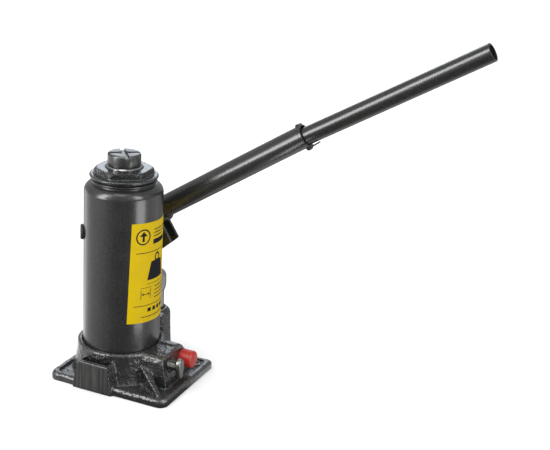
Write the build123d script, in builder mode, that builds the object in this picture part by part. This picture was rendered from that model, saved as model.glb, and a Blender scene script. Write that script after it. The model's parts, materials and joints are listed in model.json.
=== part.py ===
from build123d import *
import math
import os

os.makedirs("parts", exist_ok=True)

# ----------------------------------------------------------------------------
# Hydraulic bottle jack, 4 tonne class, 180 mm closed height.
# Frame: origin on the ram axis at the underside of the base. +Z up,
# +X towards the release valve (the long way of the base, and the way the
# handle points), +Y towards the hand pump. Millimetres.
# ----------------------------------------------------------------------------

# overall
closed_height = 180.0          # underside of the base to the top of the saddle
ram_stroke = 110.0
screw_travel = 50.0

# base casting
plate_x0, plate_x1 = -40.2, 61.6
plate_half_y = 41.5
front_corner, rear_corner = 7.0, 4.0
rim_h = 6.2                    # top of the raised rim
rim_w = 4.6
floor_z = 4.0                  # recessed floor inside the rim
cup_r_top = 34.0               # cup that holds the foot of the reservoir tube
cup_r_low = 36.2
cup_z = 29.0
seat_z = 24.0                  # floor of the reservoir
pad_y = -43.7                  # foot of the machined pad on the front of the base
pad_top_y = -43.3              # its top edge: the face leans back
pad_top_z = 23.0

# reservoir tube and pressure cylinder
tube_r = 30.0
tube_wall = 2.0
tube_z0 = 25.2
tube_shoulder_z = 150.6
neck_r = 24.2
neck_z = 160.4
cyl_r_in = 16.0
cyl_r_out = 20.5
cyl_z0 = 17.6
cyl_z1 = 159.2

# top nut, ram, screw
flange_r = 26.0
flange_z0, flange_z1 = 161.4, 164.0
nut_top_z = 169.0
hex_corner_r = 23.2
hex_turn = 34.0
ram_r = 13.5
ram_top_z = 170.30
ram_head_z0, ram_head_z1 = 24.0, 33.0
screw_r = 9.5
head_r = 12.6
head_z0 = 170.36
slot_w = 3.4
slot_d = 1.8
slot_turn = 38.0

# valves in the +X boss
release_y, release_z = -8.0, 20.0
safety_y, safety_z = 12.2, 17.9
spot_x = 47.4

# pump and lever
pump_x, pump_y = 6.0, 46.0
plunger_r = 5.5
boss_z = 38.0
fulcrum = (-12.0, 57.0)        # X, Z of the lever's fulcrum
pin_arm, pin_deg = 18.0, 15.0  # from the fulcrum to the plunger pin, and its rise at rest
plunger_pin = (fulcrum[0] + pin_arm * math.cos(math.radians(pin_deg)), fulcrum[1] + pin_arm * math.sin(math.radians(pin_deg)))
pin_r = 2.5
lever_gap = 4.75               # half the gap between the lever's cheeks
cheek_t = 2.5
handle_deg = 33.7              # handle's rise above level at rest
mouth = (10.1, 126.1)          # X, Z where the handle enters the socket
socket_depth = 36.7
tube1_r, tube1_ri = 8.80, 7.65 # lower handle tube
tube1_len = 139.5              # from the mouth of the socket to its far end
tube2_r, tube2_ri = 6.80, 5.60 # upper handle tube
tube2_deg = 31.45
tube2_len = 151.75             # from the end of the lower tube to the open end
tube2_in = 36.0                # length held inside the lower tube

ux, uz = math.cos(math.radians(handle_deg)), math.sin(math.radians(handle_deg))
nx, nz = -uz, ux               # square to the handle, upwards
u2x, u2z = math.cos(math.radians(tube2_deg)), math.sin(math.radians(tube2_deg))


def along(s, drop=0.0):
    """Point on the handle's axis, s mm beyond the socket's mouth."""
    return (mouth[0] + s * ux - drop * nx, pump_y, mouth[1] + s * uz - drop * nz)


def handle_plane(s):
    return Plane(origin=along(s), x_dir=(0, 1, 0), z_dir=(ux, 0, uz))


# ============================================================================
# base: one iron casting with the cup, valve boss, pump boss and fulcrum lug
# ============================================================================
plate_cx = (plate_x0 + plate_x1) / 2
plate_lx = plate_x1 - plate_x0

# sloping ribs from the cup to the two +X corners, narrower towards the rim
rib_deg, rib_off = -35.4, 3.6
rc, rs = math.cos(math.radians(rib_deg)), math.sin(math.radians(rib_deg))
with BuildPart() as ribs:
    with BuildSketch(Plane(origin=(-rs * rib_off, rc * rib_off, 2.0), x_dir=(rc, rs, 0), z_dir=(0, 0, 1))):
        with BuildLine():
            Polyline((24.0, -4.1), (66.0, -1.5), (66.0, 1.5), (24.0, 4.1), close=True)
        make_face()
    extrude(amount=24.0)
    with BuildSketch(Plane(origin=(-rs * rib_off, rc * rib_off, 0), x_dir=(rc, rs, 0), z_dir=(rs, -rc, 0))):
        with BuildLine():
            Polyline((20.0, 22.4), (29.8, 22.2), (33.4, 20.4), (64.6, 5.0), (70.0, 4.7), (70.0, 40.0), (20.0, 40.0), close=True)
        make_face()
    extrude(amount=12.0, both=True, mode=Mode.SUBTRACT)
    mirror(about=Plane.XZ)

with BuildPart() as base:
    # plate with a raised rim
    with BuildSketch(Plane.XY) as plate:
        with Locations((plate_cx, 0)):
            Rectangle(plate_lx, 2 * plate_half_y)
        fillet(plate.vertices().filter_by(lambda v: v.Y < 0), radius=front_corner)
        fillet(plate.vertices().filter_by(lambda v: v.Y > plate_half_y - 0.1), radius=rear_corner)
    extrude(amount=rim_h)
    # rear lobe under the pump
    with BuildSketch(Plane.XY):
        with Locations((-4.5, 43.0)):
            RectangleRounded(36.0, 34.0, 10.0)
    extrude(amount=rim_h)
    chamfer(base.faces().sort_by(Axis.Z)[-1].edges(), length=1.6)
    # recessed floor
    with BuildSketch(Plane.XY.offset(floor_z)):
        with Locations((plate_cx, 0)):
            RectangleRounded(plate_lx - 2 * rim_w - 1.2, 2 * (plate_half_y - rim_w) - 1.2, 3.6)
    extrude(amount=10.0, taper=-12.0, mode=Mode.SUBTRACT)

    # front pad: tapered block with a flat machined face
    with BuildSketch(Plane.XZ.offset(28.0)) as pad_face:
        with BuildLine():
            Polyline((-17.3, 0), (17.3, 0), (15.9, 9.0), (12.9, pad_top_z), (-12.9, pad_top_z), (-15.9, 9.0), close=True)
        make_face()
        fillet(pad_face.vertices().sort_by(Axis.Z)[-2:], radius=3.2)
    extrude(amount=-pad_y - 28.0)
    with BuildSketch(Plane.YZ):
        with BuildLine():
            Polyline((pad_y, 1.5), (pad_top_y, pad_top_z + 0.3), (pad_top_y, 40.0), (pad_y - 4.0, 40.0), (pad_y - 4.0, 1.5), close=True)
        make_face()
    extrude(amount=20.0, both=True, mode=Mode.SUBTRACT)
    # pocket behind the pad's top edge
    with BuildSketch(Plane.XZ.offset(30.0)):
        with BuildLine():
            Polyline((-11.4, 30.0), (-12.2, 13.5), (12.2, 13.5), (11.4, 30.0), close=True)
        make_face()
    extrude(amount=9.3, mode=Mode.SUBTRACT)

    # cup around the tube's foot
    with BuildSketch(Plane.XZ):
        with BuildLine():
            Polyline((0, floor_z - 2.0), (cup_r_low + 1.8, floor_z - 2.0), (cup_r_low + 0.2, floor_z + 3.0),
                     (cup_r_low - 0.9, 14.0), (cup_r_top + 0.5, 22.0), (cup_r_top + 0.25, cup_z - 1.4),
                     (cup_r_top - 0.9, cup_z), (0, cup_z), close=True)
        make_face()
    revolve(axis=Axis.Z)

    # valve boss on the +X side: arched block
    with BuildSketch(Plane.YZ.offset(26.0)):
        with BuildLine():
            Polyline((-19.9, 2.0), (-19.5, 10.0), (-19.3, 23.8), (-18.4, 27.0), (-15.6, 28.8), (-6.0, 29.3), (2.4, 29.4),
                     (5.6, 30.3), (9.4, 30.2), (13.2, 28.0), (16.4, 24.4), (18.8, 19.6), (20.2, 12.0), (21.0, 2.0), close=True)
        make_face()
    extrude(amount=30.0)
    # its end face leans back
    with BuildSketch(Plane.XZ):
        with BuildLine():
            Polyline((51.9, 2.1), (70.0, 2.1), (70.0, 36.0), (45.5, 36.0), close=True)
        make_face()
    extrude(amount=23.0, both=True, mode=Mode.SUBTRACT)
    # the plate goes on under the valves
    with BuildSketch(Plane.XY.offset(1.0)):
        with Locations((54.0, 0.5)):
            Rectangle(14.0, 50.0)
    extrude(amount=floor_z - 1.0)
    with BuildSketch(Plane.XZ) as bar:
        with BuildLine():
            Polyline((56.4, 1.0), (plate_x1, 1.0), (plate_x1, rim_h - 1.6), (plate_x1 - 1.6, rim_h), (57.0, rim_h), close=True)
        make_face()
    extrude(amount=24.0, both=True)

    # sloping ribs
    add(ribs.part)

    # pump boss, slightly conical, with a rounded top
    with BuildSketch(Plane(origin=(pump_x, pump_y, 0), x_dir=(1, 0, 0), z_dir=(0, -1, 0))):
        with BuildLine():
            Polyline((0, 0), (12.9, 0), (12.7, 3.0), (12.0, 9.0), (11.4, 20.0), (11.0, boss_z - 3.2), (10.2, boss_z - 1.0),
                     (9.0, boss_z), (0, boss_z), close=True)
        make_face()
    revolve(axis=Axis(origin=(pump_x, pump_y, 0), direction=(0, 0, 1)))
    # web between the cup and the pump boss
    with BuildSketch(Plane.XY.offset(2.0)):
        with Locations((pump_x - 1.0, 36.0)):
            Rectangle(15.0, 14.0)
    extrude(amount=22.0)
    # fulcrum lug beside the pump
    with BuildSketch(Plane.XZ.offset(-pump_y)):
        with BuildLine():
            Polyline((-21.0, 2.0), (-3.0, 2.0), (-4.0, 30.0), (fulcrum[0] + 6.2, fulcrum[1]),
                     (fulcrum[0] - 6.2, fulcrum[1]), (-19.0, 30.0), close=True)
        make_face()
        with Locations(fulcrum):
            Circle(6.2)
    extrude(amount=4.4, both=True)

    # ---- machined holes ----
    # seat of the reservoir tube, socket of the pressure cylinder, ram chamber
    with BuildSketch(Plane.XY.offset(seat_z)):
        Circle(tube_r + 0.25)
    extrude(amount=10.0, mode=Mode.SUBTRACT)
    with BuildSketch(Plane.XY.offset(16.6)):
        Circle(cyl_r_out)
    extrude(amount=10.0, mode=Mode.SUBTRACT)
    with BuildSketch(Plane.XY.offset(9.0)):
        Circle(14.0)
    extrude(amount=10.0, mode=Mode.SUBTRACT)
    # release valve: spot face, threaded bore, ball bore, drillings
    with BuildSketch(Plane.YZ.offset(spot_x)):
        with Locations((release_y, release_z)):
            Circle(6.2)
    extrude(amount=12.0, mode=Mode.SUBTRACT)
    with BuildSketch(Plane.YZ.offset(32.0)):
        with Locations((release_y, release_z)):
            Circle(3.97)
    extrude(amount=24.0, mode=Mode.SUBTRACT)
    with BuildSketch(Plane.YZ.offset(25.2)):
        with Locations((release_y, release_z)):
            Circle(3.2)
    extrude(amount=8.0, mode=Mode.SUBTRACT)
    with BuildSketch(Plane(origin=(26.2, release_y, release_z), x_dir=(0.0853, 0.7845, 0), z_dir=(-0.7845, 0.0853, -0.6142))):
        Circle(1.0)
    extrude(amount=18.5, mode=Mode.SUBTRACT)
    with BuildSketch(Plane.XY.offset(release_z)):
        with Locations((26.6, release_y + 1.0)):
            Circle(1.3)
    extrude(amount=8.0, mode=Mode.SUBTRACT)
    # safety valve: spot face, threaded bore, ball bore, drilling
    with BuildSketch(Plane.YZ.offset(spot_x)):
        with Locations((safety_y, safety_z)):
            Circle(7.2)
    extrude(amount=12.0, mode=Mode.SUBTRACT)
    with BuildSketch(Plane.YZ.offset(29.8)):
        with Locations((safety_y, safety_z)):
            Circle(3.97)
    extrude(amount=24.0, mode=Mode.SUBTRACT)
    with BuildSketch(Plane(origin=(31.0, safety_y, safety_z), x_dir=(0.1391, -0.9565, 0), z_dir=(-0.9565, -0.1391, -0.2565))):
        Circle(1.3)
    extrude(amount=23.5, mode=Mode.SUBTRACT)
    # pump: sleeve bore, suction seat, delivery bore and cross drillings
    with BuildSketch(Plane.XY.offset(14.0)):
        with Locations((pump_x, pump_y)):
            Circle(8.5)
    extrude(amount=30.0, mode=Mode.SUBTRACT)
    with BuildSketch(Plane.XY.offset(8.6)):
        with Locations((pump_x, pump_y)):
            Circle(2.9)
    extrude(amount=6.0, mode=Mode.SUBTRACT)
    with BuildSketch(Plane.XY.offset(5.0)):
        with Locations((pump_x, pump_y)):
            Circle(1.4)
    extrude(amount=5.0, mode=Mode.SUBTRACT)
    with BuildSketch(Plane.XZ.offset(-24.5)):
        with Locations((pump_x, 5.0)):
            Circle(1.6)
    extrude(amount=-40.0, mode=Mode.SUBTRACT)
    with BuildSketch(Plane.XY.offset(5.0)):
        with Locations((pump_x, 24.8)):
            Circle(1.5)
    extrude(amount=20.0, mode=Mode.SUBTRACT)
    with BuildSketch(Plane.XY.offset(-1.0)):
        with Locations((-2.0, 33.0)):
            Circle(3.6)
    extrude(amount=15.0, mode=Mode.SUBTRACT)
    with BuildSketch(Plane.XY.offset(13.5)):
        with Locations((-2.0, 33.0)):
            Circle(1.4)
    extrude(amount=4.2, mode=Mode.SUBTRACT)
    with BuildSketch(Plane(origin=(-2.0, 33.0, 17.0), x_dir=(0, 0, 1), z_dir=(0.5240, 0.8517, 0))):
        Circle(1.3)
    extrude(amount=12.0, mode=Mode.SUBTRACT)
    with BuildSketch(Plane.XZ.offset(-33.0)):
        with Locations((-2.0, 11.6)):
            Circle(1.3)
    extrude(amount=21.0, mode=Mode.SUBTRACT)
    # fulcrum pin hole
    with BuildSketch(Plane.XZ.offset(-pump_y)):
        with Locations(fulcrum):
            Circle(3.56)
    extrude(amount=6.0, both=True, mode=Mode.SUBTRACT)
base.part.label = "base"
export_step(base.part, "parts/base.step")

# ============================================================================
# reservoir tube: drawn steel tube, shoulder and neck, filler hole
# ============================================================================
filler_deg = 212.8
filler_z = 117.0
fc, fs = math.cos(math.radians(filler_deg)), math.sin(math.radians(filler_deg))


def filler_plane(r):
    return Plane(origin=(r * fc, r * fs, filler_z), x_dir=(-fs, fc, 0), z_dir=(fc, fs, 0))


with BuildPart() as reservoir_tube:
    with BuildSketch(Plane.XZ):
        with BuildLine():
            Line((tube_r - tube_wall, tube_z0), (tube_r, tube_z0))
            Line((tube_r, tube_z0), (tube_r, tube_shoulder_z))
            ThreePointArc((tube_r, tube_shoulder_z), (28.2, 154.9), (25.2, 156.8))
            Line((25.2, 156.8), (neck_r + 0.2, 157.0))
            ThreePointArc((neck_r + 0.2, 157.0), (neck_r - 0.4, 157.8), (neck_r + 0.2, 158.6))
            ThreePointArc((neck_r + 0.2, 158.6), (neck_r + 0.8, 159.3), (neck_r + 0.2, 160.0))
            Line((neck_r + 0.2, 160.0), (neck_r - 0.3, neck_z))
            Line((neck_r - 0.3, neck_z), (22.0, neck_z))
            Line((22.0, neck_z), (22.0, 155.8))
            ThreePointArc((22.0, 155.8), (26.6, 153.5), (tube_r - tube_wall, 149.6))
            Line((tube_r - tube_wall, 149.6), (tube_r - tube_wall, tube_z0))
        make_face()
    revolve(axis=Axis.Z)
    with BuildSketch(filler_plane(20.0)):
        Circle(5.0)
    extrude(amount=14.0, mode=Mode.SUBTRACT)
reservoir_tube.part.label = "reservoir_tube"
export_step(reservoir_tube.part, "parts/reservoir_tube.step")

# rubber filler plug: domed head, plain stem
with BuildPart() as filler_plug:
    with BuildSketch(filler_plane(26.6)):
        Circle(4.93)
    extrude(amount=4.4)
    with BuildSketch(filler_plane(30.08)):
        Circle(6.0)
    extrude(amount=2.3)
    fillet(filler_plug.edges().filter_by(GeomType.CIRCLE).sort_by(lambda e: e.center().X * fc + e.center().Y * fs)[-1:], radius=1.4)
filler_plug.part.label = "filler_plug"
export_step(filler_plug.part, "parts/filler_plug.step")

# rating label: thin skin round the front of the tube
label_deg0, label_deg1 = -50.0, 84.0
label_z0, label_z1 = 52.8, 133.3
with BuildPart() as rating_label:
    with BuildSketch(Plane.XY.offset(label_z0)):
        with BuildLine():
            ri, ro = tube_r + 0.02, tube_r + 0.17
            a0, a1 = math.radians(label_deg0), math.radians(label_deg1)
            CenterArc((0, 0), ro, label_deg0, label_deg1 - label_deg0)
            CenterArc((0, 0), ri, label_deg0, label_deg1 - label_deg0)
            Line((ri * math.cos(a0), ri * math.sin(a0)), (ro * math.cos(a0), ro * math.sin(a0)))
            Line((ri * math.cos(a1), ri * math.sin(a1)), (ro * math.cos(a1), ro * math.sin(a1)))
        make_face()
    extrude(amount=label_z1 - label_z0)
rating_label.part.label = "rating_label"
export_step(rating_label.part, "parts/rating_label.step")

# pressure cylinder: thick honed tube screwed into the base
with BuildPart() as pressure_cylinder:
    with BuildSketch(Plane.XZ):
        with BuildLine():
            Polyline((cyl_r_in, cyl_z0), (cyl_r_out - 0.05, cyl_z0), (cyl_r_out - 0.05, cyl_z1 - 1.0),
                     (cyl_r_out - 1.0, cyl_z1), (cyl_r_in + 0.6, cyl_z1), (cyl_r_in, cyl_z1 - 0.6), close=True)
        make_face()
    revolve(axis=Axis.Z)
pressure_cylinder.part.label = "pressure_cylinder"
export_step(pressure_cylinder.part, "parts/pressure_cylinder.step")

# copper washer under the cylinder
with BuildPart() as cylinder_washer:
    with BuildSketch(Plane.XY.offset(16.6)):
        Circle(cyl_r_out - 0.1)
        Circle(cyl_r_in, mode=Mode.SUBTRACT)
    extrude(amount=1.0)
cylinder_washer.part.label = "cylinder_washer"
export_step(cylinder_washer.part, "parts/cylinder_washer.step")

# gaskets at the two ends of the reservoir tube
with BuildPart() as tube_foot_gasket:
    with BuildSketch(Plane.XY.offset(seat_z)):
        Circle(tube_r)
        Circle(27.6, mode=Mode.SUBTRACT)
    extrude(amount=tube_z0 - seat_z)
tube_foot_gasket.part.label = "tube_foot_gasket"
export_step(tube_foot_gasket.part, "parts/tube_foot_gasket.step")

with BuildPart() as neck_gasket:
    with BuildSketch(Plane.XY.offset(neck_z)):
        Circle(neck_r - 0.4)
        Circle(21.4, mode=Mode.SUBTRACT)
    extrude(amount=flange_z0 - neck_z)
neck_gasket.part.label = "neck_gasket"
export_step(neck_gasket.part, "parts/neck_gasket.step")

# ============================================================================
# top nut: round flange, cast hexagon, threaded spigot that guides the ram
# ============================================================================
with BuildPart() as top_nut:
    with BuildSketch(Plane.XZ):
        with BuildLine():
            Polyline((ram_r + 0.07, 144.0), (cyl_r_in - 0.05, 144.0), (cyl_r_in - 0.05, 160.0), (20.8, 160.0),
                     (20.8, flange_z0), (flange_r - 0.8, flange_z0), (flange_r, flange_z0 + 0.9),
                     (flange_r, flange_z1 - 0.8), (flange_r - 0.9, flange_z1), (ram_r + 0.07, flange_z1), close=True)
        make_face()
    revolve(axis=Axis.Z)
    with BuildSketch(Plane.XY.offset(flange_z1)) as hex_sk:
        RegularPolygon(radius=hex_corner_r, side_count=6, rotation=hex_turn)
        fillet(hex_sk.vertices(), radius=3.0)
        Circle(ram_r + 0.07, mode=Mode.SUBTRACT)
    extrude(amount=nut_top_z - flange_z1)
    # the hexagon's corners are turned off at the top
    with BuildSketch(Plane.XZ):
        with BuildLine():
            Polyline((20.7, nut_top_z + 0.2), (30.0, nut_top_z + 0.2), (30.0, 164.9), (hex_corner_r, 167.2), (20.7, nut_top_z), close=True)
        make_face()
    revolve(axis=Axis.Z, mode=Mode.SUBTRACT)
    # inner countersink at the top of the bore
    with BuildSketch(Plane.XZ):
        with BuildLine():
            Polyline((ram_r - 0.5, nut_top_z + 0.1), (ram_r + 1.2, nut_top_z + 0.1), (ram_r + 0.07, nut_top_z - 1.1),
                     (ram_r - 0.5, nut_top_z - 1.1), close=True)
        make_face()
    revolve(axis=Axis.Z, mode=Mode.SUBTRACT)
    # grooves for the wiper and the O-ring
    with BuildSketch(Plane.XZ):
        with Locations(((ram_r + 14.9) / 2, 163.4), ((ram_r + 14.9) / 2, 150.0)):
            Rectangle(14.9 - ram_r, 2.6)
    revolve(axis=Axis.Z, mode=Mode.SUBTRACT)
top_nut.part.label = "top_nut"
export_step(top_nut.part, "parts/top_nut.step")

# rings in the nut: wiper above, O-ring below
with BuildPart() as ram_wiper:
    with BuildSketch(Plane.XZ):
        with BuildLine():
            Polyline((ram_r + 0.08, 164.6), (ram_r + 0.5, 163.4), (ram_r + 0.2, 162.2), (14.85, 162.2), (14.85, 164.6), close=True)
        make_face()
    revolve(axis=Axis.Z)
ram_wiper.part.label = "ram_wiper"
export_step(ram_wiper.part, "parts/ram_wiper.step")

with BuildPart() as nut_o_ring:
    with BuildSketch(Plane.XZ):
        with Locations((14.22, 150.0)):
            Circle(0.63)
    revolve(axis=Axis.Z)
nut_o_ring.part.label = "nut_o_ring"
export_step(nut_o_ring.part, "parts/nut_o_ring.step")

# ============================================================================
# ram: hollow rod with a piston head; carries the extension screw
# ============================================================================
thread_z0 = 122.0              # bottom of the threaded mouth of the ram
bore_z0 = 46.0                 # bottom of the ram's bore
with BuildPart() as ram:
    with BuildSketch(Plane.XZ):
        with BuildLine():
            Polyline((0, 13.0), (5.5, 13.0), (5.5, ram_head_z0), (cyl_r_in - 0.06, ram_head_z0),
                     (cyl_r_in - 0.06, ram_head_z1), (ram_r + 0.8, ram_head_z1), (ram_r, ram_head_z1 + 1.0),
                     (ram_r, ram_top_z - 0.9), (ram_r - 0.9, ram_top_z), (screw_r + 0.5, ram_top_z),
                     (screw_r + 0.06, ram_top_z - 0.5), (screw_r + 0.06, thread_z0), (10.9, thread_z0),
                     (10.9, bore_z0), (0, bore_z0 - 4.0), close=True)
        make_face()
    revolve(axis=Axis.Z)
ram.part.label = "ram"
export_step(ram.part, "parts/ram.step")

with BuildPart() as piston_cup_seal:
    with BuildSketch(Plane.XZ):
        with BuildLine():
            Polyline((5.55, 19.0), (12.4, 19.0), (13.4, 17.9), (cyl_r_in - 0.1, 17.9), (cyl_r_in - 0.1, 23.9), (5.55, 23.9), close=True)
        make_face()
    revolve(axis=Axis.Z)
piston_cup_seal.part.label = "piston_cup_seal"
export_step(piston_cup_seal.part, "parts/piston_cup_seal.step")

with BuildPart() as piston_washer:
    with BuildSketch(Plane.XY.offset(17.4)):
        Circle(12.0)
        Circle(5.55, mode=Mode.SUBTRACT)
    extrude(amount=1.6)
piston_washer.part.label = "piston_washer"
export_step(piston_washer.part, "parts/piston_washer.step")

with BuildPart() as piston_nut:
    with BuildSketch(Plane.XY.offset(12.4)):
        RegularPolygon(radius=9.8, side_count=6)
        Circle(5.55, mode=Mode.SUBTRACT)
    extrude(amount=5.0)
    chamfer(piston_nut.edges().filter_by(GeomType.LINE).filter_by(Axis.Z, reverse=True), length=0.5)
piston_nut.part.label = "piston_nut"
export_step(piston_nut.part, "parts/piston_nut.step")

# extension screw: threaded rod with a slotted saddle head
with BuildPart() as extension_screw:
    with BuildSketch(Plane.XZ):
        with BuildLine():
            Polyline((0, 62.0), (screw_r - 1.2, 62.0), (screw_r - 0.2, 63.0), (screw_r - 0.2, 66.0), (8.0, 66.0), (8.0, 68.1),
                     (screw_r, 68.1), (screw_r, head_z0 - 1.0), (screw_r - 0.6, head_z0),
                     (head_r - 0.5, head_z0), (head_r, head_z0 + 0.5), (head_r, closed_height - 1.1),
                     (head_r - 1.1, closed_height), (0, closed_height), close=True)
        make_face()
    revolve(axis=Axis.Z)
    with BuildSketch(Plane.XY.offset(closed_height - slot_d)):
        Rectangle(40.0, slot_w, rotation=slot_turn)
        Rectangle(40.0, slot_w, rotation=slot_turn + 92.0)
    extrude(amount=5.0, mode=Mode.SUBTRACT)
extension_screw.part.label = "extension_screw"
export_step(extension_screw.part, "parts/extension_screw.step")

# split ring that stops the screw from leaving the ram
with BuildPart() as screw_stop_ring:
    with BuildSketch(Plane.XY.offset(66.1)):
        Circle(10.8)
        Circle(8.06, mode=Mode.SUBTRACT)
        with Locations((9.5, 0)):
            Rectangle(4.0, 2.2, mode=Mode.SUBTRACT)
    extrude(amount=1.9)
screw_stop_ring.part.label = "screw_stop_ring"
export_step(screw_stop_ring.part, "parts/screw_stop_ring.step")

# ============================================================================
# release valve: pointed screw with a flat upright tang
# ============================================================================
tang_x0, tang_x1 = 55.2, 58.4
with BuildPart() as release_valve:
    with BuildSketch(Plane(origin=(0, release_y, release_z), x_dir=(1, 0, 0), z_dir=(0, -1, 0))):
        with BuildLine():
            Polyline((31.6, 0), (31.6, 1.3), (34.4, 3.0), (38.2, 3.0), (38.9, 3.9), (53.6, 3.9), (54.3, 3.4),
                     (tang_x0 + 1.0, 3.4), (tang_x0 + 1.0, 0), close=True)
        make_face()
    revolve(axis=Axis(origin=(0, release_y, release_z), direction=(1, 0, 0)))
    # upright oval tang, narrower towards its lower end
    with BuildSketch(Plane.YZ.offset(tang_x0)) as tang:
        with BuildLine():
            Polyline((release_y - 1.6, 10.2), (release_y + 1.6, 10.2), (release_y + 2.8, 12.6), (release_y + 4.1, 17.4),
                     (release_y + 4.1, 22.2), (release_y + 3.2, 24.8), (release_y + 1.4, 26.4), (release_y - 1.4, 26.4),
                     (release_y - 3.2, 24.8), (release_y - 4.1, 22.2), (release_y - 4.1, 17.4), (release_y - 2.8, 12.6), close=True)
        make_face()
    extrude(amount=tang_x1 - tang_x0)
    chamfer(release_valve.faces().sort_by(Axis.X)[-1].edges(), length=0.5)
release_valve.part.label = "release_valve"
export_step(release_valve.part, "parts/release_valve.step")

with BuildPart() as release_ball:
    with Locations((28.55, release_y, release_z)):
        Sphere(3.0)
release_ball.part.label = "release_ball"
export_step(release_ball.part, "parts/release_ball.step")

with BuildPart() as release_o_ring:
    with BuildSketch(Plane(origin=(0, release_y, release_z), x_dir=(1, 0, 0), z_dir=(0, -1, 0))):
        with Locations((36.8, 3.49)):
            Circle(0.44)
    revolve(axis=Axis(origin=(0, release_y, release_z), direction=(1, 0, 0)))
release_o_ring.part.label = "release_o_ring"
export_step(release_o_ring.part, "parts/release_o_ring.step")

# ============================================================================
# safety valve: ball, spring, set screw and the red cap that seals it
# ============================================================================
with BuildPart() as safety_ball:
    with Locations((32.35, safety_y, safety_z)):
        Sphere(2.5)
safety_ball.part.label = "safety_ball"
export_step(safety_ball.part, "parts/safety_ball.step")

with BuildPart() as safety_spring:
    with BuildLine() as safety_coil:
        Helix(pitch=1.55, height=6.2, radius=2.7, center=(35.4, safety_y, safety_z), direction=(1, 0, 0))
    with BuildSketch(Plane(origin=safety_coil.line @ 0, z_dir=safety_coil.line % 0)):
        Circle(0.45)
    sweep(path=safety_coil.line, is_frenet=True)
safety_spring.part.label = "safety_spring"
export_step(safety_spring.part, "parts/safety_spring.step")

with BuildPart() as safety_screw:
    with BuildSketch(Plane(origin=(0, safety_y, safety_z), x_dir=(1, 0, 0), z_dir=(0, -1, 0))):
        with BuildLine():
            Polyline((42.2, 0), (42.2, 3.3), (42.8, 3.9), (53.2, 3.9), (53.8, 3.3), (53.8, 0), close=True)
        make_face()
    revolve(axis=Axis(origin=(0, safety_y, safety_z), direction=(1, 0, 0)))
    with BuildSketch(Plane.YZ.offset(51.8)):
        with Locations((safety_y, safety_z)):
            Rectangle(12.0, 1.2)
    extrude(amount=4.0, mode=Mode.SUBTRACT)
safety_screw.part.label = "safety_screw"
export_step(safety_screw.part, "parts/safety_screw.step")

with BuildPart() as safety_cap:
    with BuildSketch(Plane(origin=(0, safety_y, safety_z), x_dir=(1, 0, 0), z_dir=(0, -1, 0))):
        with BuildLine():
            Line((47.5, 4.0), (47.5, 6.4))
            Line((47.5, 6.4), (47.9, 6.8))
            Line((47.9, 6.8), (57.1, 6.8))
            ThreePointArc((57.1, 6.8), (58.3, 6.1), (59.0, 4.4))
            Line((59.0, 4.4), (59.35, 2.8))
            Line((59.35, 2.8), (59.4, 0))
            Line((59.4, 0), (54.9, 0))
            Line((54.9, 0), (54.9, 4.0))
            Line((54.9, 4.0), (47.5, 4.0))
        make_face()
    revolve(axis=Axis(origin=(0, safety_y, safety_z), direction=(1, 0, 0)))
safety_cap.part.label = "safety_cap"
export_step(safety_cap.part, "parts/safety_cap.step")

# ============================================================================
# hand pump: sleeve, packing, gland, plunger, check balls
# ============================================================================
pump_axis = Axis(origin=(pump_x, pump_y, 0), direction=(0, 0, 1))
pump_section = Plane(origin=(pump_x, pump_y, 0), x_dir=(1, 0, 0), z_dir=(0, -1, 0))

with BuildPart() as pump_sleeve:
    with BuildSketch(pump_section):
        with Locations((7.01, 23.8)):
            Rectangle(2.86, 19.6)
    revolve(axis=pump_axis)
pump_sleeve.part.label = "pump_sleeve"
export_step(pump_sleeve.part, "parts/pump_sleeve.step")

with BuildPart() as plunger_packing:
    with BuildSketch(pump_section):
        with BuildLine():
            Polyline((5.57, 33.7), (8.4, 33.7), (8.4, 35.9), (5.57, 35.9), (6.0, 34.8), close=True)
        make_face()
    revolve(axis=pump_axis)
plunger_packing.part.label = "plunger_packing"
export_step(plunger_packing.part, "parts/plunger_packing.step")

with BuildPart() as pump_gland:
    with BuildSketch(pump_section):
        with BuildLine():
            Polyline((5.58, 36.0), (8.44, 36.0), (8.44, 38.7), (7.9, 39.3), (7.0, 39.3), (5.58, 37.6), close=True)
        make_face()
    revolve(axis=pump_axis)
    with BuildSketch(Plane.XY.offset(38.3)):
        with Locations((pump_x, pump_y)):
            Rectangle(2.0, 30.0, rotation=20.0)
    extrude(amount=3.0, mode=Mode.SUBTRACT)
pump_gland.part.label = "pump_gland"
export_step(pump_gland.part, "parts/pump_gland.step")

with BuildPart() as pump_plunger:
    # rod with a round domed head
    with BuildSketch(pump_section):
        with BuildLine():
            Line((0, 28.2), (4.9, 28.2))
            Line((4.9, 28.2), (plunger_r, 28.8))
            Line((plunger_r, 28.8), (plunger_r, 53.8))
            ThreePointArc((plunger_r, 53.8), (6.5, 56.6), (7.0, 59.6))
            Line((7.0, 59.6), (7.0, 66.4))
            ThreePointArc((7.0, 66.4), (5.3, 70.6), (0, 72.6))
            Line((0, 72.6), (0, 28.2))
        make_face()
    revolve(axis=pump_axis)
    # flats for the lever's cheeks
    with BuildSketch(Plane.XY.offset(55.0)):
        with Locations((pump_x, pump_y + 9.4), (pump_x, pump_y - 9.4)):
            Rectangle(20.0, 10.0)
    extrude(amount=20.0, mode=Mode.SUBTRACT)
    # cross slot for the lever's pin
    with BuildSketch(Plane.XZ.offset(-pump_y)):
        with Locations((5.0, plunger_pin[1])):
            RectangleRounded(7.9, 5.7, 2.8)
    extrude(amount=6.0, both=True, mode=Mode.SUBTRACT)
pump_plunger.part.label = "pump_plunger"
export_step(pump_plunger.part, "parts/pump_plunger.step")

with BuildPart() as suction_ball:
    with Locations((pump_x, pump_y, 10.95)):
        Sphere(2.4)
suction_ball.part.label = "suction_ball"
export_step(suction_ball.part, "parts/suction_ball.step")

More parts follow.
